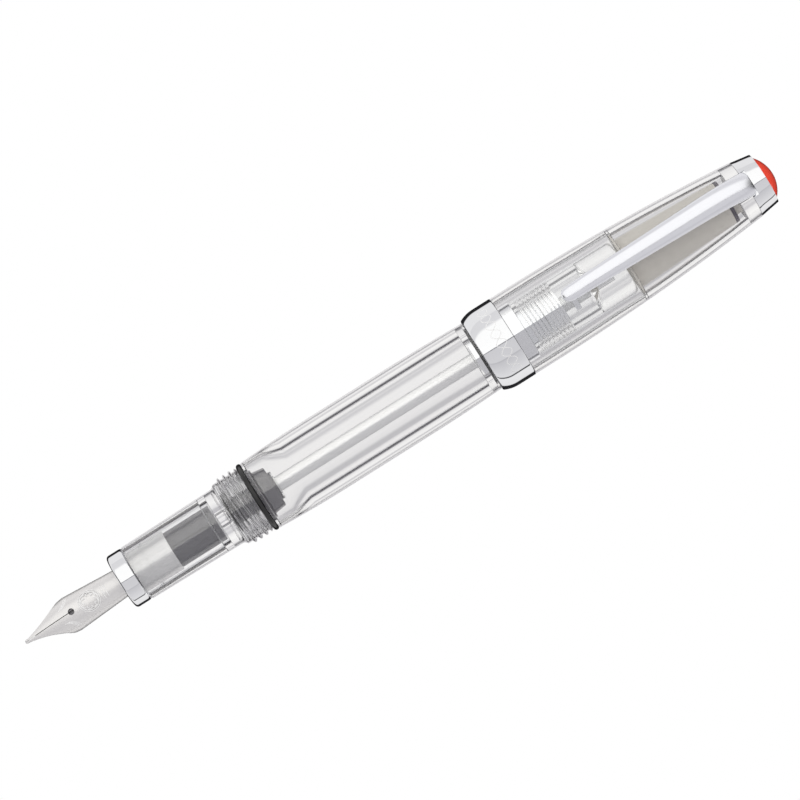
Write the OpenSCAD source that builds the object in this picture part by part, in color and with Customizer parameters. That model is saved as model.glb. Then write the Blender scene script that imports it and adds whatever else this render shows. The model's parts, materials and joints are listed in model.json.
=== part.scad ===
// Clear pocket fountain pen with a vacuum plunger filler, its screw cap posted on the filling knob.
// The pen lies along X: the nib points to -X, the cap's finial to +X, and the clip and the nib's face to +Z.
// The origin is on the pen's axis, halfway along the straight middle of the barrel.

/* [Barrel] */
// Diameter of the barrel's straight middle
barrel_d = 13; // [12.9:0.1:13.3]
// Length of the barrel between its two end faces
barrel_length = 42.5; // [41:0.5:60]
// Diameter of the ink chamber that the plunger runs in
chamber_d = 9; // [8.9:0.05:9.2]

/* [Grip and nib] */
// Length of the clear grip from the trim ring to the cap thread's collar
grip_length = 18; // [17.5:0.5:24]
// Diameter of the grip next to the trim ring
grip_d = 9.74; // [9.6:0.02:9.9]
// How far the nib stands out of the trim ring
nib_reach = 18.3; // [17.9:0.1:19.5]
// Diameter of the nib's shank
nib_shank_d = 4.9; // [4.8:0.05:5]

/* [Filler] */
// Diameter of the plunger rod
rod_d = 2.68; // [2.6:0.02:2.72]
// Diameter of the filling knob
knob_d = 9.74; // [9.6:0.02:9.8]
// Length of the filling knob
knob_length = 19; // [18.6:0.1:19.2]

/* [Cap] */
// Largest diameter of the clear cap
cap_d = 14.28; // [14.2:0.02:14.6]
// Length of the cap from its mouth to the top of the jewel
cap_length = 55.7; // [55.5:0.1:57]
// Length of the clip from its lip to its root
clip_length = 36; // [30:0.5:38]

/* [Threads and fits] */
// Distance between crests of the cap thread
cap_thread_pitch = 1.08; // [1:0.01:1.1]
// Distance between crests of the thread that holds the knob on the filler collar
knob_thread_pitch = 0.71; // [0.66:0.01:0.74]
// Distance between crests of the fine threads that join the pen's parts
joint_thread_pitch = 0.7; // [0.6:0.05:0.75]
// Radial clearance between parts that slide or turn in each other
running_gap = 0.05; // [0.03:0.01:0.06]

/* [Hidden] */
// Clearance between faces that meet end to end, and between parts fitted together for good
seat_gap = 0.02;
// How far a ridge is sunk into the wall that carries it, so that the two are one solid
ridge_sink = 0.1;
// Overshoot of a cutting shape past the solid that it cuts
over = 1;
// Facets of a turned part, and of an arc so large that only a sliver of its circle is used
turn_fn = 96;
sweep_fn = 2880;

// Barrel
barrel_r = barrel_d / 2;
chamber_r = chamber_d / 2;
straight_length = 15.6;
barrel_front = -0.482 * barrel_length;
barrel_back = barrel_front + barrel_length;
barrel_front_r = barrel_r - 0.38;
barrel_back_r = barrel_r - 0.3;
wide_chamber_r = chamber_r + 1;
wide_chamber_front = barrel_front + 0.5;
wide_chamber_back = barrel_front + 4;
chamber_front = barrel_front + 7;
chamber_back = barrel_back - 1.55;
nose_length = 4.9;
nose_front = barrel_front - nose_length;
nose_r = 4.97;
nose_crest_r = 5.06;
gasket_seat = barrel_back - 0.45;
gasket_r = 5;
gasket_thickness = 0.6;

// Cap-side seal at the joint of the grip and the barrel
joint_ring_tube_r = 0.47;
joint_ring_r = 5.74;
section_back = barrel_front - 2 * joint_ring_tube_r - 2 * seat_gap;

// Grip section
skirt_r = 5.6;
skirt_bore_r = 5.24;
skirt_thread_bore_r = nose_crest_r + running_gap;
cap_thread_crest_r = 6.1;
cap_thread_count = 4;
cap_thread_back = section_back - 0.32;
collar_front = section_back - 4.65;
grip_front = collar_front - grip_length;
grip_front_r = grip_d / 2;
grip_back_r = grip_front_r + 0.2;
flare_r = 0.9;
seat_front = collar_front - 2.15;
ink_hole_r = 1;

// Nib, feed and the housing that grips them
housing_r = 3.95;
housing_nipple_r = 3.55;
housing_shoulder = seat_front - 1.4;
trim_ring_length = 3;
trim_ring_r = 4.83;
trim_ring_front = grip_front - trim_ring_length;
nib_tip = trim_ring_front - nib_reach;
nib_shank_r = nib_shank_d / 2;
nib_thickness = 0.28;
nib_back = trim_ring_front + 10;
nib_shoulder_r = 3.07;
tine_length = 8.8;
tine_start = nib_tip + tine_length;
nib_wrap_z = -0.4;
slit_w = 0.12;
breather_r = 0.54;
breather_x = tine_start + 0.35;
tipping_r = 0.36;
feed_r = nib_shank_r - nib_thickness - seat_gap;
feed_back = seat_front - 0.3;
feed_front = nib_tip + 2;
feed_gap = 0.04;
fin_count = 9;
fin_pitch = 0.8;

// Plunger
rod_r = rod_d / 2;
head_front = collar_front + 1.3;
head_back = barrel_front + 3.1;
head_front_r = 2.2;
head_r = 3.85;
head_back_r = 3.55;
boss_r = 2.5;
boss_length = 0.4;
lip_front = barrel_front;
lip_back = lip_front + 0.85;
lip_r = chamber_r - 1.6 * running_gap;
lip_hub_r = 3;
valve_r = 3.6;
valve_stem_r = 1.2;

// Filler collar behind the barrel, and the seals inside it
collar_r = 5.14;
collar_spigot_r = 3;
collar_length = 7.95;
collar_start = gasket_seat + gasket_thickness + 2 * seat_gap;
collar_end = collar_start + collar_length;
seal_room_r = 2.56;
seal_room_front = chamber_back + 0.3;
seal_ring_tube_r = 0.57;
seal_ring_r = rod_r + running_gap / 2 + seal_ring_tube_r;
guide_length = 2;
guide_back = seal_room_front + guide_length;
seal_pitch = 1.25;
tail_r = 3.2;
tail_crest_r = 3.44;
tail_length = 7.1;
tail_end = collar_end + tail_length;

// Filling knob
knob_r = knob_d / 2;
knob_front = collar_end + 0.05;
knob_end = knob_front + knob_length;
knob_thread_bore_r = tail_crest_r + running_gap;
knob_bore_r = 3.7;
knob_thread_first = knob_front + 1;
knob_thread_count = 9;
tail_thread_count = 4;
drill_point_length = 1.7;
bore_end = knob_end - 6.75;
rod_end = bore_end - 0.1;
rod_stub_r = 0.8;
rod_stub_length = 4.4;
nut_start = tail_end + 1.75;
nut_thickness = 0.95;

// Cap
mouth = barrel_back + 0.08;
band_length = 5.9;
band_back = mouth + band_length;
band_r = cap_d / 2 + 0.05;
band_front_r = 6.55;
band_lip = 0.45;
spigot_r = 6.68;
spigot_length = 1.2;
posting_lip_front = band_back - 0.3;
posting_lip_r = 5.2;
cap_r = cap_d / 2;
cap_wall = 1.04;
cap_bow_start = mouth + 9.9;
tube_back = mouth + 50.6;
tube_back_r = 5.11;
tube_floor = tube_back - 2.3;
section_thread_bore_r = cap_thread_crest_r + 1.4 * running_gap;
section_thread_root_r = section_thread_bore_r + 0.2;
liner_front = mouth + 27.4;
liner_back = mouth + 46.4;
liner_front_r = 4.55;
liner_back_r = 3.85;
liner_wall = 0.7;
liner_floor = 0.5;
liner_flange_r = 5.68;
liner_flange_t = 0.45;
liner_seat_step = 0.17;
liner_boss_r = 2.76;
liner_boss_back = tube_floor - seat_gap;
liner_ring_t = 0.65;
finial_front = tube_back + 0.05;
finial_length = 3.4;
finial_back = finial_front + finial_length;
finial_front_r = 5.05;
finial_back_r = 4.5;
jewel_r = 3.95;
jewel_seat = 0.5;
jewel_top = mouth + cap_length;
bolt_r = 1.15;
bolt_head_r = 2;
bolt_head_t = 0.48;
bolt_reach = 2.1;

// Clip
clip_root_back = finial_front + 0.9;
clip_front = clip_root_back - clip_length;
clip_top = 8.5;
clip_thickness = 0.8;
clip_bend_start = clip_root_back - 9.9;
clip_bend_r = 17.6;
clip_half_w = 2.2;
clip_tip_r = 1.3;
clip_crown_r = 3.9;
tongue_length = 0.8;
tongue_bottom = 3.75;
tongue_gap = 0.12;

// ---- Shared shapes. A turned part is drawn as [radius, x] and spun about the pen's axis. ----

module turned() {
    rotate([0, 90, 0]) rotate_extrude($fn = turn_fn) children();
}

// Solid or hollow disc section from x0 to x1, between radii r_in and r_out
module disc(x0, x1, r_out, r_in = 0) {
    translate([r_in, x0]) square([r_out - r_in, x1 - x0]);
}

// Cone section that reaches the axis
module taper(x0, r0, x1, r1) {
    polygon([[0, x0], [r0, x0], [r1, x1], [0, x1]]);
}

// Radius of the arc that starts along the axis and has dropped by `drop` after `run`
function bow_radius(run, drop) = (run * run + drop * drop) / (2 * drop);

// Section whose outside leaves radius r at x_flat along the axis and bows inwards until x_end
module bowed(x_flat, x_end, r, bow_r) {
    intersection() {
        translate([0, min(x_flat, x_end)]) square([r, abs(x_end - x_flat)]);
        translate([r - bow_r, x_flat]) circle(r = bow_r, $fn = sweep_fn);
    }
}

// Row of ring-shaped thread ridges that stand from the wall at root_r to crest_r
module thread_rings(first_x, count, pitch, root_r, crest_r) {
    sunk_r = root_r + ridge_sink * sign(root_r - crest_r);
    for (i = [0 : count - 1])
        translate([0, first_x + i * pitch])
            polygon([
                [sunk_r, -0.38 * pitch], [root_r, -0.38 * pitch], [crest_r, -0.1 * pitch],
                [crest_r, 0.1 * pitch], [root_r, 0.38 * pitch], [sunk_r, 0.38 * pitch]
            ]);
}

// Row of slim ridges with round crests, as on a moulded cap thread
module bead_rings(first_x, count, pitch, root_r, crest_r) {
    bead_r = 0.17 * pitch;
    for (i = [0 : count - 1])
        translate([0, first_x - i * pitch]) {
            disc(-bead_r, bead_r, crest_r - bead_r, root_r - ridge_sink);
            translate([crest_r - bead_r, 0]) circle(r = bead_r, $fn = 32);
        }
}

// Round seal of circular section, centred at x
module o_ring(x, r, tube_r) {
    turned() translate([r, x]) circle(r = tube_r, $fn = 32);
}

// ---- Nib and feed ----

// Radius of the nib's top at distance s behind the tip, over the length of the tines
function tine_top(s) =
    let (run = tine_length - s)
    nib_shoulder_r - 0.12 * run - run * run / 48;

// Half the width of the two tines together at distance s behind the tip
function tine_half_w(s) = 0.22 + 0.165 * s + 0.0235 * s * s;

// Stations along the tines, from the tipping to the shoulders
tine_steps = [for (i = [0 : 10]) tipping_r + i / 10 * (tine_length - tipping_r)];

module nib_profile(inset) {
    polygon(concat(
        [[0, nib_back + inset]],
        [[nib_shank_r - inset, nib_back + inset], [nib_shank_r - inset, trim_ring_front]],
        [for (i = [10 : -1 : 0]) [tine_top(tine_steps[i]) - inset, nib_tip + tine_steps[i]]],
        [[0, nib_tip + tipping_r]]
    ));
}

module nib_outline() {
    shank_half_w = nib_shoulder_r + over;
    polygon(concat(
        [[nib_back + over, -shank_half_w]],
        [[tine_start, -shank_half_w]],
        [for (i = [10 : -1 : 0]) [nib_tip + tine_steps[i], -tine_half_w(tine_steps[i])]],
        [for (s = tine_steps) [nib_tip + s, tine_half_w(s)]],
        [[tine_start, shank_half_w]],
        [[nib_back + over, shank_half_w]]
    ));
}

// The areas beside the tines, seen from above, outside a line at a distance inside their edges
module beside_tines(inset) {
    clear_of_nib = 2 * nib_shoulder_r;
    for (side = [-1, 1])
        polygon(concat(
            [[nib_tip, side * clear_of_nib]],
            [for (s = tine_steps) [nib_tip + s, side * (tine_half_w(s) - inset)]],
            [[tine_start, side * clear_of_nib]]
        ));
}

module tipping_ball() {
    translate([nib_tip + tipping_r, 0, tine_top(tipping_r) - 0.6 * tipping_r])
        sphere(r = tipping_r, $fn = 48);
}

module slit() {
    translate([nib_tip - over, -slit_w / 2, -nib_shoulder_r])
        cube([breather_x - nib_tip + over, slit_w, 3 * nib_shoulder_r]);
}

module nib() {
    color("gainsboro")
        difference() {
            intersection() {
                turned() difference() {
                    nib_profile(0);
                    nib_profile(nib_thickness);
                    disc(nib_back - over, nib_back + over, nib_shank_r - nib_thickness);
                }
                translate([0, 0, nib_wrap_z]) linear_extrude(2 * nib_shoulder_r) nib_outline();
            }
            slit();
            translate([breather_x, 0, 0]) cylinder(r = breather_r, h = 2 * nib_shoulder_r, $fn = 48);
            tipping_ball();
            translate([nib_tip - over, -nib_shoulder_r, -over])
                cube([tine_length / 2 + over, 2 * nib_shoulder_r, over]);
        }
}

module nib_tipping() {
    color("silver")
        difference() {
            tipping_ball();
            slit();
        }
}

// Half section of the feed: a plain cylinder at the back, following the nib from inside at the front
module feed_profile() {
    inset = nib_thickness + feed_gap;
    last_step = len(tine_steps) - 1;
    polygon(concat(
        [[0, feed_back], [feed_r, feed_back], [feed_r, trim_ring_front]],
        [for (i = [last_step : -1 : 0]) if (nib_tip + tine_steps[i] > feed_front)
            [tine_top(tine_steps[i]) - inset, nib_tip + tine_steps[i]]],
        [[tine_top(feed_front - nib_tip) - inset, feed_front], [0, feed_front]]
    ));
}

// Body of the feed: it fills the nib from inside, and its underside rises to a point behind the tip
module feed_blank() {
    front_rise = 17;
    side_inset = 0.12;
    front_thickness = 0.43;
    difference() {
        turned() feed_profile();
        translate([0, 0, -nib_shoulder_r]) linear_extrude(2 * nib_shoulder_r) beside_tines(side_inset);
        translate([feed_front, 0, tine_top(feed_front - nib_tip) - nib_thickness - front_thickness])
            rotate([0, front_rise, 0])
                translate([-over, -nib_shoulder_r, -3 * nib_shoulder_r])
                    cube([2 * tine_length, 2 * nib_shoulder_r, 3 * nib_shoulder_r]);
    }
}

module feed() {
    channel_w = 0.35;
    fin_gap = 0.4;
    spine_z = -0.7;
    color([0.13, 0.13, 0.14])
        difference() {
            feed_blank();
            translate([feed_front - over, -channel_w / 2, feed_r - channel_w])
                cube([feed_back - feed_front, channel_w, nib_shoulder_r]);
            for (i = [0 : fin_count - 1])
                translate([trim_ring_front - 1.4 - i * fin_pitch, -nib_shoulder_r, -2 * nib_shoulder_r])
                    cube([fin_gap, 2 * nib_shoulder_r, 2 * nib_shoulder_r + spine_z]);
        }
}

module nib_housing() {
    groove_x = grip_front + 2.5;
    color([0.85, 0.87, 0.88, 0.4])
        turned() difference() {
            union() {
                disc(grip_front + seat_gap, housing_shoulder, housing_r);
                disc(housing_shoulder - over, seat_front - running_gap, housing_nipple_r);
            }
            disc(grip_front - over, nib_back + running_gap, nib_shank_r + running_gap);
            disc(nib_back, seat_front + over, feed_r + running_gap);
            disc(groove_x, groove_x + 0.25, housing_r + over, housing_r - 0.2);
        }
}

module section_trim_ring() {
    corner_r = 0.55;
    color("silver")
        turned() difference() {
            union() {
                disc(trim_ring_front + corner_r, grip_front, trim_ring_r);
                disc(trim_ring_front, grip_front, trim_ring_r - corner_r);
                translate([trim_ring_r - corner_r, trim_ring_front + corner_r])
                    circle(r = corner_r, $fn = 48);
            }
            disc(trim_ring_front - over, grip_front + over, nib_shank_r + running_gap);
        }
}

module grip_section() {
    flare_start = collar_front - flare_r;
    lead_in = 0.35;
    color([0.85, 0.87, 0.88, 0.4])
        turned() difference() {
            union() {
                taper(grip_front + seat_gap, grip_front_r, flare_start, grip_back_r);
                difference() {
                    disc(flare_start - seat_gap, collar_front, skirt_r);
                    translate([grip_back_r + flare_r, flare_start])
                        circle(r = flare_r, $fn = turn_fn);
                }
                disc(collar_front, section_back, skirt_r);
                bead_rings(cap_thread_back, cap_thread_count, cap_thread_pitch,
                    skirt_r, cap_thread_crest_r);
            }
            disc(grip_front - over, housing_shoulder + running_gap, housing_r + running_gap);
            disc(housing_shoulder, seat_front, housing_nipple_r + running_gap);
            disc(seat_front - over, collar_front, ink_hole_r);
            difference() {
                disc(collar_front, section_back + over, skirt_bore_r);
                thread_rings(section_back - lead_in - joint_thread_pitch * 5, 6, joint_thread_pitch,
                    skirt_bore_r, skirt_thread_bore_r);
            }
        }
}

module joint_o_ring() {
    color([0.06, 0.06, 0.07])
        o_ring(barrel_front - seat_gap - joint_ring_tube_r, joint_ring_r, joint_ring_tube_r);
}

// ---- Barrel ----

module barrel() {
    half_straight = straight_length / 2;
    front_bow = bow_radius(-half_straight - barrel_front, barrel_r - barrel_front_r);
    back_bow = bow_radius(barrel_back - half_straight, barrel_r - barrel_back_r);
    nose_bore_r = chamber_r + running_gap;
    color([0.86, 0.88, 0.89, 0.4])
        turned() difference() {
            union() {
                disc(-half_straight, half_straight, barrel_r);
                bowed(-half_straight, barrel_front, barrel_r, front_bow);
                bowed(half_straight, barrel_back, barrel_r, back_bow);
                disc(nose_front, barrel_front, nose_r);
                thread_rings(nose_front + 0.55, 6, joint_thread_pitch, nose_r, nose_crest_r);
            }
            disc(nose_front - over, wide_chamber_front + over, nose_bore_r);
            disc(wide_chamber_front, wide_chamber_back, wide_chamber_r);
            polygon([
                [0, wide_chamber_back], [wide_chamber_r, wide_chamber_back],
                [chamber_r, chamber_front], [0, chamber_front]
            ]);
            disc(chamber_front - seat_gap, chamber_back, chamber_r);
            disc(chamber_back - seat_gap, barrel_back + over, collar_spigot_r + seat_gap);
            disc(gasket_seat, barrel_back + over, gasket_r + running_gap);
        }
}

// ---- Plunger ----

module shut_off_washer() {
    color([0.1, 0.1, 0.11])
        turned() difference() {
            union() {
                disc(collar_front + 0.3, head_front - seat_gap, valve_r);
                taper(collar_front + 0.05, ink_hole_r + 0.5, collar_front + 0.31, valve_r - 0.3);
            }
            disc(collar_front - over, head_front + over, valve_stem_r + seat_gap);
        }
}

module plunger_head() {
    rod_socket = 5.5;
    color([0.24, 0.23, 0.26])
        turned() difference() {
            union() {
                disc(collar_front + 0.1, head_front, valve_stem_r);
                disc(head_front, lip_front - seat_gap, head_front_r);
                disc(lip_front - seat_gap - over, lip_back + over, lip_hub_r);
                taper(lip_back + seat_gap, head_r, head_back, head_back_r);
                disc(head_back, head_back + boss_length, boss_r);
            }
            disc(head_back - rod_socket, head_back + over, rod_r + seat_gap);
        }
}

// Cup seal: a hub ring with a thin lip that leans back to the chamber wall
module plunger_seal() {
    lip_t = 0.28;
    color([0.16, 0.16, 0.18])
        turned() {
            disc(lip_front + lip_t, lip_back, head_r - 0.1, lip_hub_r + seat_gap);
            disc(lip_front, lip_front + lip_t + seat_gap, lip_r, lip_hub_r + seat_gap);
            disc(lip_front, lip_back, lip_r, lip_r - lip_t);
        }
}

module head_washer() {
    start = head_back + boss_length + seat_gap;
    color([0.9, 0.91, 0.92, 0.5])
        turned() disc(start, start + 0.3, boss_r, rod_r + seat_gap);
}

module plunger_rod() {
    rod_start = head_back - 5.4;
    color("whitesmoke")
        turned() {
            disc(rod_start, rod_end, rod_r);
            disc(rod_end, rod_end + rod_stub_length, rod_stub_r);
        }
}

// ---- Filler collar and its seals ----

module rod_guide() {
    color([0.9, 0.9, 0.88])
        turned() disc(seal_room_front + seat_gap, guide_back, seal_room_r - seat_gap, rod_r + running_gap);
}

module rod_o_rings() {
    first_x = guide_back + seat_gap + seal_ring_tube_r;
    color([0.07, 0.07, 0.08])
        for (i = [0 : 1])
            o_ring(first_x + i * seal_pitch, seal_ring_r, seal_ring_tube_r);
}

module collar_gasket() {
    color([0.06, 0.06, 0.07])
        turned() disc(gasket_seat + seat_gap, gasket_seat + seat_gap + gasket_thickness,
            gasket_r, collar_spigot_r + seat_gap);
}

module filler_collar() {
    room_back = guide_back + 2 * seal_pitch + 0.1;
    groove_d = 0.35;
    color("silver")
        turned() difference() {
            union() {
                disc(seal_room_front, collar_start, collar_spigot_r);
                disc(collar_start, collar_end, collar_r);
                disc(collar_end, tail_end, tail_r);
                thread_rings(knob_thread_first + knob_thread_pitch / 2, tail_thread_count, knob_thread_pitch,
                    tail_r, tail_crest_r);
            }
            disc(seal_room_front - over, room_back, seal_room_r);
            disc(room_back - over, tail_end + over, rod_r + running_gap);
            translate([collar_r, collar_start + 2]) circle(d = groove_d, $fn = 32);
        }
}

module filling_knob() {
    end_round = 0.9;
    color([0.86, 0.88, 0.89, 0.4])
        turned() difference() {
            union() {
                disc(knob_front, knob_end - end_round, knob_r);
                disc(knob_front, knob_end, knob_r - end_round);
                translate([knob_r - end_round, knob_end - end_round]) circle(r = end_round, $fn = 64);
            }
            difference() {
                disc(knob_front - over, bore_end, knob_bore_r);
                thread_rings(knob_thread_first, knob_thread_count, knob_thread_pitch,
                    knob_bore_r, knob_thread_bore_r);
            }
            taper(bore_end - seat_gap, knob_bore_r, bore_end + drill_point_length, 0);
            disc(bore_end, rod_end + rod_stub_length + 0.1, rod_stub_r + seat_gap);
        }
}

module rod_lock_nut() {
    across_corners = 4.8;
    color("silver")
        translate([nut_start, 0, 0])
            rotate([0, 90, 0])
                difference() {
                    cylinder(d = across_corners, h = nut_thickness, $fn = 6);
                    translate([0, 0, -over])
                        cylinder(r = rod_r + seat_gap, h = nut_thickness + 2 * over, $fn = 48);
                }
}

// ---- Cap ----

// The cap's outside, or a surface at a depth below it, from the mouth's end to the floor
module cap_blank(x0, x1, depth) {
    bow = bow_radius(tube_back - cap_bow_start, cap_r - tube_back_r);
    disc(x0, cap_bow_start, cap_r - depth);
    bowed(cap_bow_start - seat_gap, x1, cap_r - depth, bow - depth);
}

module cap_tube() {
    color([0.86, 0.88, 0.89, 0.4])
        turned() difference() {
            union() {
                cap_blank(band_back + seat_gap, tube_back, 0);
                disc(band_back - spigot_length + seat_gap, band_back + over, spigot_r);
            }
            cap_blank(band_back - spigot_length - over, liner_front + liner_flange_t, cap_wall);
            cap_blank(liner_front, tube_floor, cap_wall + liner_seat_step);
            disc(tube_floor - over, tube_back + over, bolt_r + running_gap);
        }
}

// The band carries the cap's thread. The clear tube's spigot sits in a groove in its back, and a
// narrow lip inside the band grips the filler collar when the cap is posted.
module cap_band() {
    bulge_r = bow_radius(2.6, band_r - band_front_r);
    bulge_back = mouth + 2.6;
    thread_start = mouth + band_lip;
    section_thread_count = 4;
    color("silver")
        turned() difference() {
            union() {
                disc(bulge_back, band_back, band_r);
                bowed(bulge_back, mouth, band_r, bulge_r);
            }
            disc(mouth - over, thread_start + seat_gap, section_thread_bore_r);
            difference() {
                disc(thread_start, band_back - spigot_length - 0.3, section_thread_root_r);
                thread_rings(thread_start + 0.9, section_thread_count, cap_thread_pitch,
                    section_thread_root_r, section_thread_bore_r);
            }
            disc(thread_start, posting_lip_front, skirt_r + running_gap);
            disc(thread_start, band_back + over, posting_lip_r);
            disc(band_back - spigot_length, band_back + over,
                spigot_r + seat_gap, cap_r - cap_wall - seat_gap);
        }
}

module inner_cap() {
    flange_back = liner_front + liner_flange_t;
    lip_r = 0.35;
    color([0.68, 0.65, 0.6])
        turned() difference() {
            union() {
                disc(liner_front, flange_back, liner_flange_r);
                taper(flange_back - seat_gap, liner_front_r, liner_back, liner_back_r);
                disc(liner_back - over, liner_boss_back, liner_boss_r);
            }
            taper(liner_front - over, liner_front_r - liner_wall + lip_r,
                liner_front + over, liner_front_r - liner_wall);
            taper(liner_front, liner_front_r - liner_wall,
                liner_back - liner_floor, liner_back_r - liner_wall);
            disc(liner_back - over, tube_back, bolt_r + running_gap);
        }
}

module inner_cap_ring() {
    color([0.2, 0.18, 0.2])
        turned()
            disc(liner_back + seat_gap, liner_back + liner_ring_t, liner_back_r, liner_boss_r + seat_gap);
}

module cap_bolt() {
    head_back_x = liner_back - liner_floor - seat_gap;
    driver_slot = 0.5;
    color("silver")
        difference() {
            turned() {
                disc(head_back_x - bolt_head_t, head_back_x, bolt_head_r);
                disc(head_back_x - seat_gap, finial_front + bolt_reach, bolt_r);
            }
            translate([head_back_x - bolt_head_t - over, -bolt_head_r, -driver_slot / 2])
                cube([over + bolt_head_t / 2, 2 * bolt_head_r, driver_slot]);
        }
}

module finial_ring() {
    color("silver")
        difference() {
            turned() difference() {
                taper(finial_front, finial_front_r, finial_back, finial_back_r);
                disc(finial_front - over, finial_front + bolt_reach + 0.15, bolt_r + seat_gap);
                disc(finial_back - jewel_seat, finial_back + over, jewel_r + seat_gap);
            }
            translate([finial_front - over, -clip_half_w - tongue_gap, tongue_bottom - tongue_gap])
                cube([clip_root_back + tongue_gap - finial_front + over,
                    2 * (clip_half_w + tongue_gap), finial_front_r]);
        }
}

module finial_jewel() {
    dome_h = jewel_top - finial_back;
    dome_r = bow_radius(jewel_r, dome_h);
    color([0.8, 0.05, 0.04])
        turned() {
            disc(finial_back - jewel_seat + seat_gap, finial_back, jewel_r);
            intersection() {
                disc(finial_back - seat_gap, jewel_top, jewel_r);
                translate([0, jewel_top - dome_r]) circle(r = dome_r, $fn = 256);
            }
        }
}

// ---- Clip ----

// Part of a ring between x0 and x1, above (side = 1) or below (side = -1) its centre, as [x, z]
module arc_strip(x0, x1, centre, r_out, side) {
    intersection() {
        translate([x0, side > 0 ? centre[1] : centre[1] - r_out]) square([x1 - x0, r_out]);
        translate(centre) difference() {
            circle(r = r_out, $fn = 180);
            circle(r = r_out - clip_thickness, $fn = 180);
        }
    }
}

module clip_side() {
    dip_start = clip_front + 6;
    dip_r = 12;
    touch = clip_front + 2.6;
    dip_run = dip_start - touch;
    dip = dip_r - sqrt(dip_r * dip_r - dip_run * dip_run);
    lip_bend_r = 3;
    touch_z = clip_top - clip_thickness - dip;
    translate([dip_start, clip_top - clip_thickness])
        square([clip_bend_start - dip_start, clip_thickness]);
    arc_strip(clip_bend_start, clip_root_back, [clip_bend_start, clip_top - clip_bend_r], clip_bend_r, 1);
    arc_strip(touch, dip_start, [dip_start, clip_top - dip_r], dip_r, 1);
    arc_strip(clip_front, touch, [touch, touch_z + lip_bend_r], lip_bend_r, -1);
    translate([clip_root_back - tongue_length, tongue_bottom])
        square([tongue_length, clip_top - 2.6 - tongue_bottom - tongue_length / 2]);
}

module clip_outline() {
    root_r = 0.8;
    root_x = clip_root_back - root_r;
    tip_x = clip_front + clip_tip_r;
    polygon([
        [tip_x, -clip_tip_r], [root_x, -clip_half_w], [clip_root_back, root_r - clip_half_w],
        [clip_root_back, clip_half_w - root_r], [root_x, clip_half_w], [tip_x, clip_tip_r]
    ]);
    translate([tip_x, 0]) circle(r = clip_tip_r, $fn = 64);
    for (side = [-1, 1])
        translate([root_x, side * (clip_half_w - root_r)]) circle(r = root_r, $fn = 48);
}

module clip() {
    color("silver")
        intersection() {
            translate([0, clip_half_w + over, 0])
                rotate([90, 0, 0])
                    linear_extrude(2 * (clip_half_w + over)) clip_side();
            linear_extrude(2 * clip_top) clip_outline();
            translate([clip_front - over, 0, clip_top - clip_crown_r])
                rotate([0, 90, 0])
                    cylinder(r = clip_crown_r, h = clip_length + 2 * over, $fn = turn_fn);
        }
}

nib();
nib_tipping();
feed();
nib_housing();
section_trim_ring();
grip_section();
joint_o_ring();
barrel();
shut_off_washer();
plunger_head();
plunger_seal();
head_washer();
plunger_rod();
rod_guide();
rod_o_rings();
collar_gasket();
filler_collar();
filling_knob();
rod_lock_nut();
cap_tube();
cap_band();
inner_cap();
inner_cap_ring();
cap_bolt();
clip();
finial_ring();
finial_jewel();
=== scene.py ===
"""Looks of the clear fountain pen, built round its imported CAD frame.

Most turned pieces are spun again from the section of their CAD node, with finer facets, softened
edges and threads that are true helices. The nib's housing has its own outline, and the clip is a
smooth strip. The nib, its tipping, the feed, the lock nut, the bolt and the finial ring are the
CAD's own meshes. Lengths are in metres. The pen lies along X: nib at -X, finial at +X, clip and
nib face up (+Z).
"""

import json
import math

import bmesh
import bpy
import numpy as np
from mathutils import Matrix, Vector


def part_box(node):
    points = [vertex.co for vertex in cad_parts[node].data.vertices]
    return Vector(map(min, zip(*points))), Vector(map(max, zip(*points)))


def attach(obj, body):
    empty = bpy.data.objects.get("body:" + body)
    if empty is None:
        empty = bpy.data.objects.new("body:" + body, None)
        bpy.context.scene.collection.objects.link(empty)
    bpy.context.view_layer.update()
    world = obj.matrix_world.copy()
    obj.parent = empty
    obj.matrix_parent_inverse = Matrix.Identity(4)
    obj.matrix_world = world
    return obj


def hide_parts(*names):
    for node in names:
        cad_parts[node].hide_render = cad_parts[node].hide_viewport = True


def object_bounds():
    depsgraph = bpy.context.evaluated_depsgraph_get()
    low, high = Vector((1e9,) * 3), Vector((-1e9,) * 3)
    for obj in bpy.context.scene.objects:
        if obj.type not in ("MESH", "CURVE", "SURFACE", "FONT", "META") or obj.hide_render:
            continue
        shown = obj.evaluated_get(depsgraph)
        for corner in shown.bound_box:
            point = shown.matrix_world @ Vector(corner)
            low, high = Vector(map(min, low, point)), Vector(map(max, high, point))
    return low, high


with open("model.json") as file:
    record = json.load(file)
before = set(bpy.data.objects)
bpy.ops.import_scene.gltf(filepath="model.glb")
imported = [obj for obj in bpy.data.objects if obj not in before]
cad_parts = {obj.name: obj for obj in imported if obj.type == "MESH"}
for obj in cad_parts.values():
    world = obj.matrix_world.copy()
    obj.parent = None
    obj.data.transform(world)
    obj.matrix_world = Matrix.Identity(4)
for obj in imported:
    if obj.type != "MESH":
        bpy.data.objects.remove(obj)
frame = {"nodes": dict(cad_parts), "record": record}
cad_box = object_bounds()

MM = 0.001
TAU = 2 * math.pi
# Points closer than this are one point.
WELD = 1e-7
# How far a point may be off a wall and still count as part of its thread.
SLACK = 0.02 * MM
# Usual rounding of a moulded or turned edge.
EDGE = 0.06 * MM
# Facets round the large clear pieces, where coarse ones would show.
FINE_SEGMENTS = 384
PLASTIC_IOR = 1.49
# Threads: grip on barrel, cap on grip (with two starts), and knob on collar.
GRIP_PITCH = 0.7 * MM
CAP_PITCH = 1.08 * MM
CAP_STARTS = 2
KNOB_PITCH = 0.71 * MM
BODY_OF = {
    node: body
    for body, members in frame["record"]["behaviour"]["bodies"].items()
    for node in members
}


# ---- Sections read from the CAD nodes ----


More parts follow.
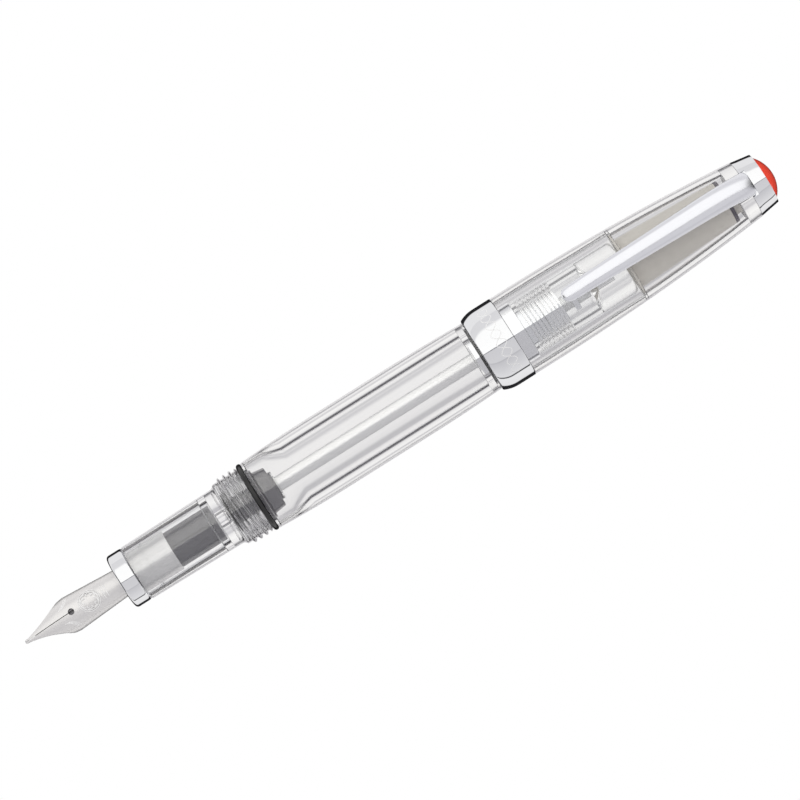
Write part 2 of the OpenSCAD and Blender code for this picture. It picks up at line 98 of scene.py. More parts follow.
def section_edges(node_name):
    """Edges of the node's cut through the pen's axis, as pairs of (x, r), on one side of the axis."""
    bm = bmesh.new()
    bm.from_mesh(frame["nodes"][node_name].data)
    bmesh.ops.remove_doubles(bm, verts=bm.verts, dist=WELD)
    everything = bm.verts[:] + bm.edges[:] + bm.faces[:]
    cut = bmesh.ops.bisect_plane(
        bm, geom=everything, plane_co=(0, 0, 0), plane_no=(0, 1, 0), dist=WELD
    )
    pairs = []
    for edge in cut["geom_cut"]:
        if not isinstance(edge, bmesh.types.BMEdge):
            continue
        (x0, r0), (x1, r1) = [(v.co.x, -v.co.z) for v in edge.verts]
        if max(r0, r1) <= WELD:
            continue
        if min(r0, r1) < 0:
            share = r0 / (r0 - r1)
            on_axis = (x0 + share * (x1 - x0), 0.0)
            (x0, r0), (x1, r1) = [on_axis, (x1, r1)] if r0 < 0 else [(x0, r0), on_axis]
        pairs.append(((x0, max(r0, 0.0)), (x1, max(r1, 0.0))))
    bm.free()
    return pairs


def chained(pairs):
    """Joins edges end to end. A section that reaches the axis starts and ends there; others close."""

    def key(point):
        return (round(point[0] / WELD / 3), round(point[1] / WELD / 3))

    links, places = {}, {}
    for a, b in pairs:
        if key(a) == key(b):
            continue
        places[key(a)], places[key(b)] = a, b
        links.setdefault(key(a), set()).add(key(b))
        links.setdefault(key(b), set()).add(key(a))
    outlines, unused = [], set(links)
    while unused:
        ends = [k for k in unused if len(links[k]) == 1]
        at = min(ends or unused)
        chain, closed = [], not ends
        while at is not None:
            chain.append(places[at])
            unused.discard(at)
            at = next((k for k in sorted(links[at]) if k in unused), None)
        outlines.append((chain, closed))
    return outlines


STRAIGHT_TURN = 0.002
SHARP_TURN = 0.4


def turn_at(before, point, after):
    """Angle by which an outline turns at a point."""
    first = math.atan2(point[1] - before[1], point[0] - before[0])
    second = math.atan2(after[1] - point[1], after[0] - point[0])
    return abs((second - first + math.pi) % TAU - math.pi)


def neighbours(chain, closed):
    """Each point of an outline with the ones before and after it; None past an open end."""
    for i, point in enumerate(chain):
        before = chain[i - 1] if i or closed else None
        after = chain[(i + 1) % len(chain)] if closed or i + 1 < len(chain) else None
        yield before, point, after


def straightened(chain, closed):
    """Drops the points in the middle of straight stretches."""
    return [
        point
        for before, point, after in neighbours(chain, closed)
        if before is None or after is None or turn_at(before, point, after) > STRAIGHT_TURN
    ]


def softened(chain, closed, radius, steps=4):
    """Rounds each sharp corner of an outline with a small curve."""
    made = []
    for before, point, after in neighbours(chain, closed):
        if before is None or after is None or turn_at(before, point, after) < SHARP_TURN:
            made.append(point)
            continue
        here = Vector(point)
        back, ahead = Vector(before) - here, Vector(after) - here
        share = 0.4
        reach = min(radius, share * back.length, share * ahead.length)
        start, end = here + back.normalized() * reach, here + ahead.normalized() * reach
        for i in range(steps + 1):
            t = i / steps
            curve = start * (1 - t) ** 2 + here * 2 * t * (1 - t) + end * t**2
            made.append(tuple(curve))
    return made


# ---- Spun meshes ----


class Relief:
    """A pattern raised on, or sunk into, the stretch of a wall of radius r between x0 and x1."""

    def __init__(self, x0, x1, r, crest_r, height, step):
        self.x0, self.x1, self.r = x0, x1, r
        self.low, self.high = min(r, crest_r), max(r, crest_r)
        self.height, self.step = height, step

    def on_wall(self, point):
        return abs(point[1] - self.r) < SLACK / 10 and self.x0 <= point[0] <= self.x1

    def holds(self, point):
        inside = self.x0 < point[0] < self.x1
        return inside and self.low - SLACK <= point[1] <= self.high + SLACK


def helix(x0, x1, root_r, crest_r, pitch, first_x, starts=1, half_width=0.34, bead=False):
    """A screw thread: its ridges run round the wall as a right-hand helix and fade out at both ends.

    A bead is a slim ridge with a round crest; other ridges swell up softly.
    """
    lead, fade = starts * pitch, 0.45 * pitch
    stations_per_turn = 30 if bead else 16

    def height(x, angle):
        turns = (x - first_x - lead * angle / TAU) / pitch
        off = np.abs(turns - np.round(turns)) / half_width
        within = np.minimum(off, 1)
        ridge = np.sqrt(1 - within**2) if bead else np.cos(within * math.pi / 2) ** 2
        ends = np.clip(np.minimum(x - x0, x1 - x) / fade, 0, 1)
        return (crest_r - root_r) * ridge * ends * ends * (3 - 2 * ends)

    return Relief(x0, x1, root_r, crest_r, height, pitch / stations_per_turn)


def subdivided(chain, closed, reliefs):
    """Adds the stations that each relief needs along its stretch of wall."""
    made = []
    for _, point, after in neighbours(chain, closed):
        made.append(point)
        if after is None:
            continue
        for relief in reliefs:
            if max(abs(point[1] - relief.r), abs(after[1] - relief.r)) > SLACK / 10:
                continue
            low = max(min(point[0], after[0]), relief.x0)
            high = min(max(point[0], after[0]), relief.x1)
            if high - low < relief.step:
                continue
            stations = np.linspace(low, high, int((high - low) / relief.step) + 1)
            ordered = stations if after[0] > point[0] else stations[::-1]
            made += [(float(x), relief.r) for x in ordered]
    return made


def spun_mesh(name, outlines, reliefs=(), segments=160):
    """Mesh of outlines spun about the pen's axis."""
    verts, faces = [], []
    angles = np.arange(segments) * TAU / segments
    for chain, closed in outlines:
        first = sum(len(block) for block in verts)
        starts = []
        for x, r in chain:
            starts.append(first)
            if r < WELD:
                verts.append(np.array([[x, 0.0, 0.0]]))
                first += 1
                continue
            radii = np.full(segments, r)
            for relief in reliefs:
                if relief.on_wall((x, r)):
                    radii = radii + relief.height(x, angles)
            ring = np.stack([np.full(segments, x), radii * np.cos(angles), radii * np.sin(angles)], 1)
            verts.append(ring)
            first += segments
        count = len(chain)
        for i in range(count if closed else count - 1):
            a, b = starts[i], starts[(i + 1) % count]
            pole_a, pole_b = chain[i][1] < WELD, chain[(i + 1) % count][1] < WELD
            for k in range(segments):
                n = (k + 1) % segments
                if pole_a and pole_b:
                    continue
                if pole_a:
                    faces.append((a, b + k, b + n))
                elif pole_b:
                    faces.append((a + k, b, a + n))
                else:
                    faces.append((a + k, b + k, b + n, a + n))
    mesh = bpy.data.meshes.new(name)
    mesh.from_pydata(np.concatenate(verts).tolist(), [], faces)
    finish_mesh(mesh)
    return mesh


def finish_mesh(mesh):
    """Welds a new mesh, faces it outwards and shades it smooth."""
    bm = bmesh.new()
    bm.from_mesh(mesh)
    bmesh.ops.remove_doubles(bm, verts=bm.verts, dist=WELD)
    bmesh.ops.recalc_face_normals(bm, faces=bm.faces)
    bm.to_mesh(mesh)
    bm.free()
    mesh.shade_smooth()


def add_piece(name, mesh, material, node_name):
    """Puts a new mesh on the body of the CAD node that it stands for."""
    piece = bpy.data.objects.new(name, mesh)
    bpy.context.scene.collection.objects.link(piece)
    mesh.materials.clear()
    mesh.materials.append(material)
    flats = piece.modifiers.new("Flat faces stay flat", "WEIGHTED_NORMAL")
    flats.weight = 100
    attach(piece, BODY_OF[node_name])
    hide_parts(node_name)


def turned_piece(node_name, material, edge=EDGE, reliefs=(), segments=160):
    """Spins a CAD node's section again, with softened edges and its threads as helices."""
    outlines = []
    for chain, closed in chained(section_edges(node_name)):
        for relief in reliefs:
            chain = [p for p in chain if not relief.holds(p)]
        chain = softened(straightened(chain, closed), closed, edge)
        outlines.append((subdivided(chain, closed, reliefs), closed))
    mesh = spun_mesh(node_name, outlines, reliefs, segments)
    add_piece(f"{node_name}_turned", mesh, material, node_name)


# ---- Materials ----


def add_node(tree, kind, settings=None, **inputs):
    """Adds a shader node. Each input is a value or another node's output; _ in its name is a space."""
    node = tree.nodes.new(f"ShaderNode{kind}")
    for name, value in (settings or {}).items():
        setattr(node, name, value)
    for name, value in inputs.items():
        socket = node.inputs[name.replace("_", " ")]
        if isinstance(value, bpy.types.NodeSocket):
            tree.links.new(value, socket)
        else:
            socket.default_value = value
    return node


def math_node(tree, operation, a, b=0.0):
    """Output of a maths node on two values."""
    node = tree.nodes.new("ShaderNodeMath")
    node.operation = operation
    for socket, value in zip(node.inputs, (a, b)):
        if isinstance(value, bpy.types.NodeSocket):
            tree.links.new(value, socket)
        else:
            socket.default_value = value
    return node.outputs[0]


def noise(tree, scale, stretch=(1, 1, 1), detail=4.0):
    """Noise over the object's own coordinates, `scale` bumps to the metre."""
    place = add_node(tree, "TexCoord").outputs["Object"]
    mapped = add_node(tree, "Mapping", Vector=place, Scale=stretch).outputs[0]
    return add_node(tree, "TexNoise", Vector=mapped, Scale=scale, Detail=detail).outputs["Fac"]


def spread(tree, value, low, high):
    """A 0 to 1 value spread between low and high."""
    return add_node(tree, "MapRange", Value=value, To_Min=low, To_Max=high).outputs[0]


def between(tree, value, low, high):
    """0 below low, 1 above high, and a smooth rise between."""
    rise = add_node(tree, "MapRange", {"interpolation_type": "SMOOTHSTEP"}, Value=value)
    rise.inputs["From Min"].default_value, rise.inputs["From Max"].default_value = low, high
    return rise.outputs[0]


def blended(tree, share, first, second):
    """Mix of two shaders."""
    mix = add_node(tree, "MixShader", Fac=share)
    tree.links.new(first.outputs[0], mix.inputs[1])
    tree.links.new(second.outputs[0], mix.inputs[2])
    return mix


def mixed(tree, share, first, second):
    """Colour that goes from first to second as share goes from 0 to 1. Either may be a plain colour."""
    mix = add_node(tree, "Mix", {"data_type": "RGBA"})
    tree.links.new(share, mix.inputs[0])
    for socket, colour in zip((mix.inputs[6], mix.inputs[7]), (first, second)):
        if isinstance(colour, bpy.types.NodeSocket):
            tree.links.new(colour, socket)
        else:
            socket.default_value = (*colour, 1)
    return mix.outputs[2]


def new_material(name):
    """New material and its empty node tree."""
    material = bpy.data.materials.new(name)
    material.use_nodes = True
    material.node_tree.nodes.clear()
    return material, material.node_tree


def surface_material(name, colours, roughness, scale=900.0, bump=0.1, stretch=(1, 1, 1), **inputs):
    """Principled material whose colour, roughness and surface all vary a little over the piece."""
    material, tree = new_material(name)
    patches = noise(tree, scale, stretch)
    grain_scale, grain_depth = 6 * scale, 0.004 * MM
    fine = noise(tree, grain_scale, stretch, detail=2.0)
    bumped = add_node(tree, "Bump", Height=fine, Strength=bump, Distance=grain_depth).outputs[0]
    shader = add_node(
        tree,
        "BsdfPrincipled",
        Base_Color=mixed(tree, patches, *colours),
        Roughness=spread(tree, patches, *roughness),
        Normal=bumped,
        **inputs,
    )
    add_node(tree, "OutputMaterial", Surface=shader.outputs[0])
    return material


def clear_plastic(name, tint, wall_shade=0.0, shade_width=0.03, ripple=0.015):
    """Clear moulded plastic. Soft light passes it unbent, so that the parts inside are lit evenly.

    Painted shade: just outside a tube's bore, where the bore's face turns into a mirror, a dark tint is
    mixed into the wall in place of the dark room mirrored there; wall_shade says how dark, and
    shade_width how far out. Painted reflection: the outline is a pale diffuse rim.
    """
    material, tree = new_material(name)
    facing = add_node(tree, "LayerWeight", Blend=0.5).outputs["Facing"]
    inside = add_node(tree, "NewGeometry").outputs["Backfacing"]
    outside = math_node(tree, "SUBTRACT", 1.0, inside)
    swirl = noise(tree, 160.0, detail=2.0)
    strength = spread(tree, facing, ripple, 0.0)
    bumped = add_node(tree, "Bump", Height=swirl, Strength=strength, Distance=0.05 * MM).outputs[0]
    plastic = add_node(
        tree,
        "BsdfPrincipled",
        Base_Color=(*tint, 1),
        Roughness=spread(tree, swirl, 0.0, 0.01),
        Transmission_Weight=1.0,
        IOR=PLASTIC_IOR,
        Normal=bumped,
    )
    passing = add_node(tree, "BsdfTransparent", Color=(0.96, 0.97, 0.97, 1))
    # Painted reflection: a pale diffuse rim that takes the place of the plastic's own reflection at its
    # outline.
    painted_pale_rim = add_node(tree, "BsdfDiffuse", Color=(0.95, 0.94, 0.96, 1))
    # Painted shade: a dark see-through tint that stands in for the dark room mirrored in the bore's face.
    dark = add_node(tree, "BsdfTransparent", Color=(0.09, 0.08, 0.1, 1))

    mirror_start, rise_width = 1 - math.sqrt(1 - 1 / PLASTIC_IOR**2), 0.006
    outline_start, outline_full = 0.66, 0.82
    # Where the painted shade goes: a thin band of facing angles, seen from inside, just past where the
    # bore's face starts to mirror.
    rise = between(tree, facing, mirror_start, mirror_start + rise_width)
    fall = between(tree, facing, mirror_start + shade_width, mirror_start + 1.6 * shade_width)
    mirror = math_node(tree, "MULTIPLY", inside, math_node(tree, "SUBTRACT", rise, fall))
    shaded = blended(tree, math_node(tree, "MULTIPLY", mirror, wall_shade), plastic, dark)
    # Where the painted pale rim goes: the outer face, seen at grazing angles.
    rim = between(tree, facing, outline_start, outline_full)
    edged = blended(tree, math_node(tree, "MULTIPLY", outside, rim), shaded, painted_pale_rim)
    path = add_node(tree, "LightPath")
    soft = math_node(tree, "MAXIMUM", path.outputs["Is Shadow Ray"], path.outputs["Is Diffuse Ray"])
    add_node(tree, "OutputMaterial", Surface=blended(tree, soft, edged, passing).outputs[0])
    return material


def grey(value):
    return (value, value, value)


CLEAR = clear_plastic("clear_plastic", (0.985, 0.99, 0.99))
# Painted shade: the grip, barrel and cap differ from plain clear plastic only in how much dark tint is
# painted along each wall's bore.
CLEAR_GRIP = clear_plastic("clear_grip", (0.985, 0.985, 0.99), 0.8, 0.06)
CLEAR_BARREL = clear_plastic("clear_barrel", (0.985, 0.985, 0.985), 0.6, 0.022)
CLEAR_CAP = clear_plastic("clear_cap", (0.985, 0.985, 0.985), 0.7, 0.022)
CLEAR_HOUSING = clear_plastic("clear_housing", (0.985, 0.99, 0.99), ripple=0.02)
CHROME = surface_material(
    "chrome", ((0.87, 0.88, 0.9), (0.92, 0.93, 0.95)), (0.02, 0.07), bump=0.03, Metallic=1.0
)
CLIP_CHROME = surface_material(
    "clip_chrome", ((0.86, 0.87, 0.92), (0.9, 0.91, 0.95)), (0.16, 0.22), bump=0.02, Metallic=1.0
)
SATIN_STEEL = surface_material(
    "satin_steel",
    ((0.8, 0.79, 0.785), (0.9, 0.89, 0.885)),
    (0.3, 0.42),
    stretch=(0.25, 2, 2),
    Metallic=0.75,
)
ENGRAVED_STEEL = surface_material("engraved_steel", (grey(0.95), grey(0.99)), (0.5, 0.6), Metallic=0.15)
ROD_STEEL = surface_material(
    "rod_steel", (grey(0.88), grey(0.95)), (0.36, 0.46), stretch=(0.05, 1, 1), Metallic=0.85
)
BLACK_RUBBER = surface_material("black_rubber", (grey(0.008), grey(0.02)), (0.18, 0.3), bump=0.1)
SMOKY_SEAL = surface_material(
    "smoky_seal", ((0.09, 0.08, 0.1), (0.14, 0.12, 0.15)), (0.15, 0.25), Transmission_Weight=0.5
)
FEED_BLACK = surface_material(
    "feed_black", ((0.024, 0.021, 0.031), (0.031, 0.027, 0.04)), (0.22, 0.27), bump=0.0, IOR=2.4
)
PLUNGER_GREY = surface_material(
    "plunger_grey", ((0.04, 0.036, 0.048), (0.055, 0.049, 0.065)), (0.13, 0.2), bump=0.03, IOR=2.4
)
FROSTED = surface_material(
    "frosted_plastic", ((0.6, 0.56, 0.51), (0.68, 0.64, 0.59)), (0.3, 0.42), bump=0.1
)
LINER_RING = surface_material("liner_ring", ((0.05, 0.04, 0.06), (0.09, 0.07, 0.1)), (0.25, 0.4))
WHITE_PLASTIC = surface_material("white_plastic", (grey(0.78), grey(0.86)), (0.3, 0.45))
# Painted glow: a faint red emission makes the jewel shine, though it is no lamp.
RED_JEWEL_PAINTED_GLOW = surface_material(
    "red_jewel",
    ((0.8, 0.03, 0.02), (0.95, 0.12, 0.07)),
    (0.04, 0.12),
    scale=1500.0,
    Coat_Weight=1.0,
    Emission_Color=(0.9, 0.08, 0.04, 1),
    Emission_Strength=0.3,
)


def places(node_name):
    """Lowest x, highest x and radius of a CAD node."""
    low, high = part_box(node_name)
    return low.x, high.x, high.z


# ---- Pieces ----


def make_barrel():
    """The clear barrel. The thread round its nose holds the grip."""
    front, _, _ = places("barrel")
    nose = helix(
        front + 0.2 * MM,
        front + 4.6 * MM,
        root_r=4.97 * MM,
        crest_r=5.06 * MM,
        pitch=GRIP_PITCH,
        first_x=front + 0.55 * MM,
    )
    turned_piece("barrel", CLEAR_BARREL, reliefs=[nose], segments=FINE_SEGMENTS)


def make_grip():
    """The clear grip, with the cap's thread outside its collar and the barrel's thread inside."""
    _, back, crest_r = places("grip_section")
    collar = back - 4.65 * MM
    outer = helix(
        collar + 0.35 * MM,
        back - 0.02 * MM,
        root_r=5.6 * MM,
        crest_r=crest_r,
        pitch=CAP_PITCH,
        first_x=back - 0.32 * MM,
        starts=CAP_STARTS,
        half_width=0.2,
        bead=True,
    )
    inner = helix(
        collar + 0.3 * MM,
        back - 0.1 * MM,
        root_r=5.24 * MM,
        crest_r=5.11 * MM,
        pitch=GRIP_PITCH,
        first_x=back - 0.35 * MM,
    )
    turned_piece("grip_section", CLEAR_GRIP, reliefs=[outer, inner], segments=FINE_SEGMENTS)


def make_housing():
    """The nib's clear housing, drawn solid, without the bore that the CAD's housing has."""
    front, back, r = places("nib_housing")
    shoulder, nipple_r = back - 1.37 * MM, 3.55 * MM
    cleft, cleft_r = shoulder + 0.14 * MM, 2.45 * MM
    groove_front, groove_r = front + 2.5 * MM, r - 0.2 * MM
    groove_back = groove_front + 0.25 * MM
    chain = [
        (front, 0.0),
        (front, r),
        (groove_front, r),
        (groove_front, groove_r),
        (groove_back, groove_r),
        (groove_back, r),
        (shoulder, r),
        (shoulder, cleft_r),
        (cleft, cleft_r),
        (cleft, nipple_r),
        (back, nipple_r),
        (back, 0.0),
    ]
    mesh = spun_mesh("nib_housing", [(softened(chain, False, EDGE), False)])
    add_piece("nib_housing_turned", mesh, CLEAR_HOUSING, "nib_housing")


def make_knob():
    """The clear filling knob. The thread in its bore takes the collar's tail."""
    front, _, _ = places("filling_knob")
    inner = helix(
        front + 0.6 * MM,
        front + 7.1 * MM,
        root_r=3.7 * MM,
        crest_r=3.49 * MM,
        pitch=KNOB_PITCH,
        first_x=front + 1 * MM,
        half_width=0.45,
    )
    turned_piece("filling_knob", CLEAR, reliefs=[inner], segments=FINE_SEGMENTS)


def make_collar():
    """The chrome collar, with a thread round its tail for the knob."""
    _, tail_end, _ = places("filler_collar")
    front = tail_end - 7.1 * MM
    tail = helix(
        front + 0.9 * MM,
        front + 4.3 * MM,
        root_r=3.2 * MM,
        crest_r=3.44 * MM,
        pitch=KNOB_PITCH,
        first_x=front + 1.4 * MM,
        half_width=0.45,
    )
    turned_piece("filler_collar", CHROME, reliefs=[tail])


def make_band():
    """The cap band, with the cap's thread inside it."""
    front, _, _ = places("cap_band")
    thread = helix(
        front + 0.5 * MM,
        front + 4.3 * MM,
        root_r=6.37 * MM,
        crest_r=6.17 * MM,
        pitch=CAP_PITCH,
        first_x=front + 1.35 * MM,
        starts=CAP_STARTS,
        half_width=0.3,
    )
    turned_piece("cap_band", CHROME, edge=0.2 * MM, reliefs=[thread])


def ribbon(verts, faces, points, radius_at, width, height):
    """Adds a slim raised line along points (x, way round in metres) on a turned surface."""
    # Across the line, as (share of its width, share of its height): its feet are sunk in the surface.
    sides = ((-0.5, -1.0), (-0.25, 1.0), (0.25, 1.0), (0.5, -1.0))
    first = len(verts)
    for before, point, after in neighbours(points, False):
        ahead = Vector(after or point) - Vector(before or point)
        across = Vector((-ahead.y, ahead.x)).normalized() * width
        for side, lift in sides:
            x, way = Vector(point) + across * side
            r = radius_at(x)
            angle = way / r
            r += height * lift
            verts.append((x, r * math.sin(angle), r * math.cos(angle)))
    for i in range(len(points) - 1):
        for k in range(len(sides) - 1):
            a, b = first + i * len(sides) + k, first + (i + 1) * len(sides) + k
            faces.append((a, a + 1, b + 1, b))


def raised_lines(name, lines, radius_at, width, height, material, node_name):
    """Piece made of slim raised lines that lie on a turned CAD node."""
    verts, faces = [], []
    for points in lines:
        ribbon(verts, faces, points, radius_at, width, height)
    mesh = bpy.data.meshes.new(name)
    mesh.from_pydata(verts, [], faces)
    mesh.shade_smooth()
    piece = bpy.data.objects.new(name, mesh)
    bpy.context.scene.collection.objects.link(piece)
    mesh.materials.append(material)
    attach(piece, BODY_OF[node_name])


def bulging_radius(node_name):
    """Function that gives the outside radius, at a place along the pen, of a node that bulges outwards."""
    verts = frame["nodes"][node_name].data.vertices
    points = sorted({(v.co.x, math.hypot(v.co.y, v.co.z)) for v in verts})
    ridge = []
    for x, r in points:
        while len(ridge) > 1:
            (x0, r0), (x1, r1) = ridge[-2:]
            if (x1 - x0) * (r - r0) < (r1 - r0) * (x - x0):
                break
            ridge.pop()
        ridge.append((x, r))
    return lambda x: float(np.interp(x, [p[0] for p in ridge], [p[1] for p in ridge]))


def arc(centre, radius, start, end, steps=48):
    """Points along an arc, for raised lines."""
    angles = [start + (end - start) * i / steps for i in range(steps + 1)]
    return [(centre[0] + radius * math.cos(a), centre[1] + radius * math.sin(a)) for a in angles]


def make_nib_engraving():
    """Plain ornament on the nib: a ringed rosette, scrolls beside the breather hole and two cross lines."""
    tip, _, _ = places("nib")
    centre = (tip + 12.2 * MM, 0.0)
    lines = [arc(centre, r * MM, 0, TAU) for r in (1.85, 1.6)]

    petals, petal_place, petal_r, petal_sweep = 8, 0.8 * MM, 0.75 * MM, 1.9
    for i in range(petals):
        turn = TAU * i / petals
        hub = (centre[0] + petal_place * math.cos(turn), petal_place * math.sin(turn))
        lines.append(arc(hub, petal_r, turn - petal_sweep, turn + petal_sweep, 24))

    scrolls, scroll_out, scroll_r = 3, 3.4 * MM, 2.2 * MM
    for side in (-1, 1):
        for step in range(scrolls):
            bend = (tip + (6.4 + 0.28 * step) * MM, side * scroll_out)
            lines.append(arc(bend, scroll_r, -side * 1.35, -side * 0.25, 20))

    half_line = 1.1 * MM
    for start in (tip + 14.8 * MM, tip + 15.4 * MM):
        lines.append([(start, -half_line), (start, half_line)])
    width, height = 0.14 * MM, 0.016 * MM
    raised_lines("nib_engraving", lines, bulging_radius("nib"), width, height, ENGRAVED_STEEL, "nib")


def make_band_ornament():
    """Plain interlaced waves across the top of the chrome band."""
    front, _, r = places("cap_band")
    middle, height, waves, steps = front + 3.6 * MM, 0.9 * MM, 4, 24
    span = 0.3 * TAU * r
    lines = []
    shares = [i / (waves * steps) for i in range(waves * steps + 1)]
    for phase in (0.0, math.pi):
        lines.append(
            [(middle + height * math.sin(waves * TAU * t + phase), span * (t - 0.5)) for t in shares]
        )
    raised_lines(
        "band_ornament", lines, lambda _: r, 0.2 * MM, 0.006 * MM, ENGRAVED_STEEL, "cap_band"
    )


def make_clip():
    """The spring clip: one crowned strip that tapers to its tip and bends in at its root."""
    front, back, top = places("clip")
    length, half_t, crown_r = back - front, 0.4 * MM, 3.9 * MM
    tip_r, root_w, root_r = 1.3 * MM, 2.2 * MM, 0.8 * MM
    bend_start, bend_r = back - 9.9 * MM, 17.6 * MM
    dip_start, dip_r, touch, lip_r = front + 6 * MM, 12 * MM, front + 2.6 * MM, 4 * MM

    def height(x):
        if x > bend_start:
            return top - bend_r + math.sqrt(bend_r**2 - (x - bend_start) ** 2)
        low = top - dip_r + math.sqrt(dip_r**2 - (dip_start - touch) ** 2)
        if x < touch:
            return low + lip_r - math.sqrt(lip_r**2 - (touch - x) ** 2)
        if x < dip_start:
            return top - dip_r + math.sqrt(dip_r**2 - (dip_start - x) ** 2)
        return top

    def half_width(x):
        wide = tip_r + (root_w - tip_r) * (x - front) / length
        from_tip, from_root = x - front, back - x
        if from_tip < tip_r:
            wide = tip_r * math.sqrt(max(1 - (1 - from_tip / tip_r) ** 2, 0.0))
        if from_root < root_r:
            wide -= root_r * (1 - math.sqrt(max(1 - (1 - from_root / root_r) ** 2, 0.0)))
        return wide

    around, along = 48, 160
    # Stations crowd towards both ends, and the strip's section is a rounded box.
    crowding, side_power, face_power = 0.9, 0.6, 0.8
    least_width, thinning_width = 0.02 * MM, 0.6 * MM
    rows = []
    for i in range(along + 1):
        share = i / along
        x = front + length * (share - math.sin(TAU * share) / TAU * crowding)
        wide = max(half_width(x), least_width)
        thick = half_t * min(1, (wide / thinning_width) ** 0.5)
        row = []
        for k in range(around):
            angle = TAU * k / around
            cos, sin = math.cos(angle), math.sin(angle)
            y = wide * math.copysign(abs(cos) ** side_power, cos)
            z = thick * math.copysign(abs(sin) ** face_power, sin)
            row.append((x, y, height(x) - half_t + z - y * y / (2 * crown_r)))
        rows.append(row)
    verts = [v for row in rows for v in row]
    faces = [tuple(range(around)), tuple(range(len(verts) - around, len(verts)))]
    for i in range(along):
        for k in range(around):
            n = (k + 1) % around
            a, b = i * around, (i + 1) * around
            faces.append((a + k, a + n, b + n, b + k))
    mesh = bpy.data.meshes.new("clip")
    mesh.from_pydata(verts, [], faces)
    finish_mesh(mesh)
    add_piece("clip_sheet", mesh, CLIP_CHROME, "clip")


make_barrel()
make_grip()
make_housing()
make_knob()
make_collar()
make_band()
make_band_ornament()
make_nib_engraving()
make_clip()
turned_piece("cap_tube", CLEAR_CAP, segments=FINE_SEGMENTS)
turned_piece("section_trim_ring", CHROME, edge=0.6 * MM)

PLAIN_TURNED_PIECES = {
    "joint_o_ring": BLACK_RUBBER,
    "shut_off_washer": BLACK_RUBBER,
    "plunger_head": PLUNGER_GREY,
    "plunger_seal": SMOKY_SEAL,
    "head_washer": CLEAR,
    "plunger_rod": ROD_STEEL,
    "rod_guide": WHITE_PLASTIC,
    "rod_o_rings": BLACK_RUBBER,
    "collar_gasket": BLACK_RUBBER,
    "inner_cap": FROSTED,
    "inner_cap_ring": LINER_RING,
    "finial_jewel": RED_JEWEL_PAINTED_GLOW,
}
for node_name, material in PLAIN_TURNED_PIECES.items():
    turned_piece(node_name, material)


def coat_cad_node(node_name, material, bevel=0.0):
    """Gives a CAD node its material, and soft edges with a modifier."""
    node = frame["nodes"][node_name]
    node.data.materials.clear()
    node.data.materials.append(material)
    if bevel:
        weld = node.modifiers.new("Weld", "WELD")
        weld.merge_threshold = WELD
        edges = node.modifiers.new("Soft edges", "BEVEL")
        edges.width, edges.segments, edges.limit_method = bevel, 3, "ANGLE"
        edges.harden_normals = False


coat_cad_node("nib", SATIN_STEEL)
coat_cad_node("nib_tipping", SATIN_STEEL)
coat_cad_node("feed", FEED_BLACK)
coat_cad_node("rod_lock_nut", CHROME, 0.05 * MM)
coat_cad_node("cap_bolt", CHROME, 0.03 * MM)
coat_cad_node("finial_ring", CHROME, 0.12 * MM)

# ---- Scene ----

CAMERA_TILT = math.radians(7.25)
PEN_RISE = math.radians(32.2)
TOWARDS_CAMERA = Vector((0, -math.sin(CAMERA_TILT), math.cos(CAMERA_TILT)))
ACROSS_PEN = Vector((0, math.cos(CAMERA_TILT), math.sin(CAMERA_TILT)))


# Brightness of the studio round the pen, as (degrees from straight behind the pen, brightness).
# Positive degrees turn towards the picture's upper side. Mirrors see the first, clear parts the second.
MIRRORED_BANDS = [
    (-180, 0.25), (-178.6, 0.25), (-178, 0.68), (-142, 0.7), (-140, 0.52), (-137, 0.62), (-87, 0.8),
    (-85, 0.03), (-82, 0.03), (-80, 0.9), (-46, 0.86), (-43, 0.02), (0, 0.02), (43, 0.02), (46, 0.86),
    (90, 0.86), (92, 0.76), (118, 0.78), (126, 1.08), (180, 1.1),
]
SEEN_THROUGH_BANDS = [
    (-180, 0.55), (-90, 0.55), (-68, 0.55), (-63, 0.13), (-54, 0.18), (-48, 0.8), (-27, 0.93), (-19, 0.8),
    (-16, 0.52), (-11, 0.5), (-9, 0.76), (0, 0.86), (9, 0.86), (12, 0.6), (14, 0.6), (16, 0.74),
    (19, 0.6), (21, 0.62), (24, 0.86), (32, 0.95), (48, 0.8), (54, 0.18), (63, 0.13), (68, 0.6),
    (90, 1.0), (100, 1.2), (180, 1.2),
]


def toned(value):
    """Grey that turns slightly violet when dark and slightly warm when light."""
    warm = min(value, 1.0)
    return (value * (0.95 + 0.06 * warm), value * (0.93 + 0.07 * warm), value * (1.03 - 0.05 * warm))


def banded_light(tree, share, bands):
    """Colour ramp over the angle round the pen."""
    ramp = add_node(tree, "ValToRGB", Fac=share)
    stops = ramp.color_ramp.elements
    while len(stops) < len(bands):
        stops.new(0.5)
    for stop, (degrees, value) in zip(stops, bands):
        stop.position = degrees / 360 + 0.5
        stop.color = (*toned(value), 1)
    return ramp.outputs[0]


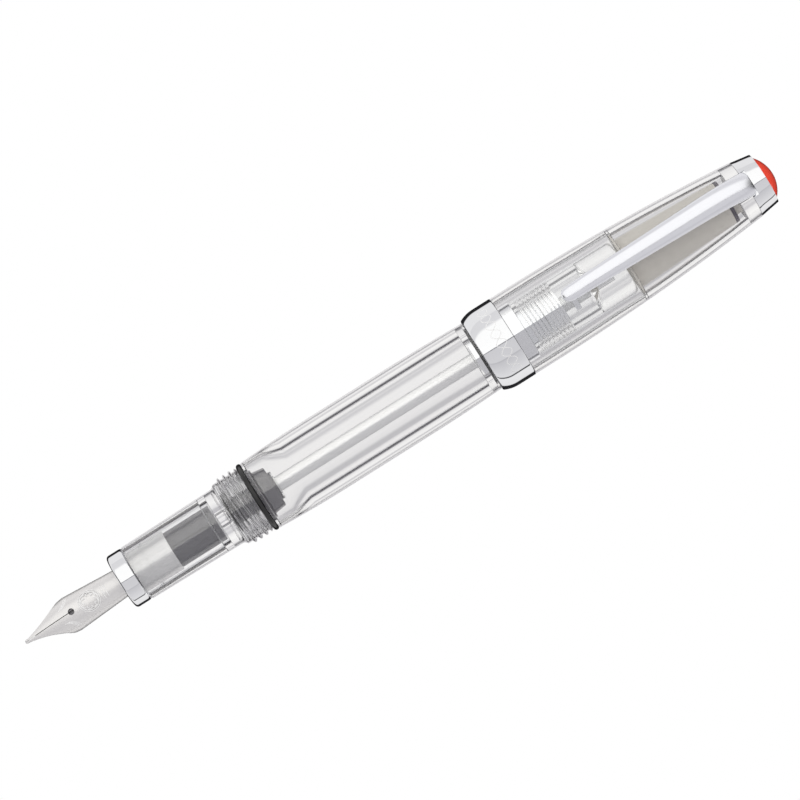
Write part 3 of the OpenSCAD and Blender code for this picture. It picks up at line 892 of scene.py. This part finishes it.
def make_world():
    """Light tent with dark and grey bands round the pen, and dark ends. The camera sees it plain white."""
    world = bpy.data.worlds.new("studio")
    bpy.context.scene.world = world
    world.use_nodes = True
    tree = world.node_tree
    tree.nodes.clear()
    direction = add_node(tree, "TexCoord").outputs["Generated"]
    turned = add_node(tree, "Mapping", Vector=direction, Rotation=(-CAMERA_TILT, 0, 0)).outputs[0]
    parts = add_node(tree, "SeparateXYZ", Vector=turned)
    behind = math_node(tree, "MULTIPLY", parts.outputs["Z"], -1.0)
    angle = math_node(tree, "ARCTAN2", parts.outputs["Y"], behind)
    share = math_node(tree, "MULTIPLY_ADD", angle, 1 / TAU)
    share.node.inputs[2].default_value = 0.5
    mirrored = banded_light(tree, share, MIRRORED_BANDS)
    through = banded_light(tree, share, SEEN_THROUGH_BANDS)
    path = add_node(tree, "LightPath")
    tent = mixed(tree, path.outputs["Is Transmission Ray"], mirrored, through)
    along = math_node(tree, "ABSOLUTE", parts.outputs["X"])
    end_start, end_full, end_brightness = 0.9, 0.95, 0.04
    end = add_node(tree, "MapRange", Value=along, From_Min=end_start, From_Max=end_full).outputs[0]
    tent = mixed(tree, end, tent, grey(end_brightness))
    seen = mixed(tree, path.outputs["Is Camera Ray"], tent, grey(1.0))
    light = add_node(tree, "Background", Color=seen, Strength=1.0)
    add_node(tree, "OutputWorld", Surface=light.outputs[0])


def make_floor():
    """Plain white floor well below the pen. It glows, and only the camera sees it."""
    low, high = cad_box
    pen_length = high.x - low.x
    mesh = bpy.data.meshes.new("floor")
    half = 6 * pen_length
    z = low.z - 1.2 * pen_length
    mesh.from_pydata(
        [(-half, -half, z), (half, -half, z), (half, half, z), (-half, half, z)], [], [(0, 1, 2, 3)]
    )
    floor = bpy.data.objects.new("floor", mesh)
    bpy.context.scene.collection.objects.link(floor)
    material, tree = new_material("floor_white")
    shine = add_node(tree, "Emission", Color=(1, 1, 1, 1), Strength=1.0)
    add_node(tree, "OutputMaterial", Surface=shine.outputs[0])
    mesh.materials.append(material)
    floor.visible_glossy = False
    floor.visible_transmission = False
    floor.visible_diffuse = False
    floor.visible_shadow = False


def make_camera():
    """Camera above the pen, rolled so that the pen rises to the right across the picture."""
    distance, aim_x, aim_across = 747 * MM, 7.0 * MM, 1.0 * MM
    sensor_width, lens = 36, 207
    right = Vector((1, 0, 0)) * math.cos(PEN_RISE) - ACROSS_PEN * math.sin(PEN_RISE)
    up = Vector((1, 0, 0)) * math.sin(PEN_RISE) + ACROSS_PEN * math.cos(PEN_RISE)
    place = Vector((aim_x, 0, 0)) + ACROSS_PEN * aim_across + TOWARDS_CAMERA * distance
    turn = Matrix((right, up, TOWARDS_CAMERA)).transposed().to_4x4()
    data = bpy.data.cameras.new("camera")
    data.sensor_width, data.lens = sensor_width, lens
    data.clip_start, data.clip_end = 0.01, 10
    camera = bpy.data.objects.new("camera", data)
    camera.matrix_world = Matrix.Translation(place) @ turn
    bpy.context.scene.collection.objects.link(camera)
    bpy.context.scene.camera = camera


def set_light_paths():
    """Enough bounces for light to cross several clear walls, and plain colours."""
    scene = bpy.context.scene
    scene.view_settings.view_transform = "Standard"
    scene.cycles.max_bounces = 40
    scene.cycles.transmission_bounces = 32
    scene.cycles.glossy_bounces = 16
    scene.cycles.transparent_max_bounces = 32
    scene.cycles.use_denoising = True


make_world()
make_floor()
make_camera()
set_light_paths()
